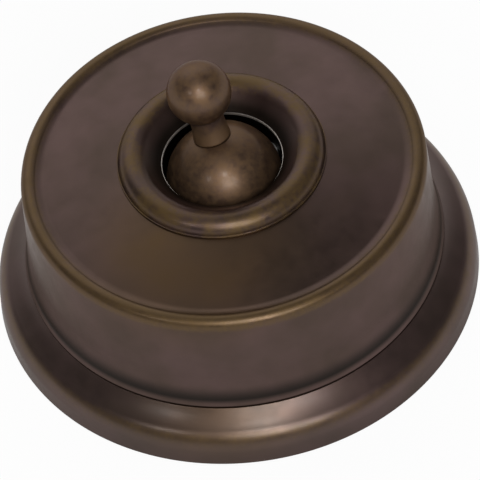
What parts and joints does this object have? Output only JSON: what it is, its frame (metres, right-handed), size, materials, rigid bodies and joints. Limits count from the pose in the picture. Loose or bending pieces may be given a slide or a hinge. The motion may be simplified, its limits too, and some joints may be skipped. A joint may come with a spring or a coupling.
{
  "type": "dolly light switch",
  "caption": "Round surface-mounted light switch in antique brass with a moulded base, a beaded cover, a ring nut and a ball-ended dolly that tips between two positions.",
  "frame": {"origin": "centre of the base's back face, in the plane of the wall", "axes": "+Z out of the wall along the axis of the turned parts, +Y up the wall, the way the dolly leans at rest, and +X to the right along the dolly's pivot"},
  "size_m": [0.06, 0.06, 0.0362],
  "materials": {
    "patinated_brass": "satin",
    "bright_brass": "satin",
    "nickel_plate": "satin",
    "steel": "satin",
    "silver_contact": "satin",
    "porcelain": "gloss",
    "phenolic": "satin",
    "vulcanised_fibre": "matte"
  },
  "bodies": {
    "housing": {"base_plate": "patinated_brass", "cover": "patinated_brass", "cover_liner": "vulcanised_fibre", "cover_ring": "patinated_brass", "dolly_bush": "nickel_plate", "dolly_pin": "steel", "bridge": "steel", "insulator_block": "porcelain", "body_screws": "steel", "common_saddle": "bright_brass", "rocker_pin": "steel", "terminal_upper": "bright_brass", "terminal_lower": "bright_brass", "terminal_common": "bright_brass", "terminal_earth": "bright_brass", "terminal_screws": "bright_brass", "contact_strip_upper": "bright_brass", "contact_strip_lower": "bright_brass", "fixed_contacts": "silver_contact"},
    "dolly": {"dolly_knob": "patinated_brass", "dolly_dome": "patinated_brass", "dolly_lever": "phenolic", "plunger_spring": "steel"},
    "plunger": {"plunger": "bright_brass"},
    "rocker": {"rocker": "bright_brass", "rocker_contacts": "silver_contact"}
  },
  "joints": [
    {"name": "dolly_toggle", "type": "hinge", "parent": "housing", "child": "dolly", "pos_m": [0, 0, 0.0189], "axis": [1, 0, 0], "range_deg": [0, 29]},
    {"name": "plunger_slide", "type": "slide", "parent": "dolly", "child": "plunger", "axis": [0, 0.2504, 0.9681], "range_m": [0, 0.0008], "stiffness_N_per_m": 400, "springref_m": -0.002, "deforming": ["plunger_spring"]},
    {"name": "rocker_tilt", "type": "hinge", "parent": "housing", "child": "rocker", "pos_m": [0, 0, 0.0074], "axis": [1, 0, 0], "range_deg": [-20, 0]}
  ],
  "couplings": [
    {"joint": "rocker_tilt", "follows": "dolly_toggle", "ratio": -0.68966}
  ]
}
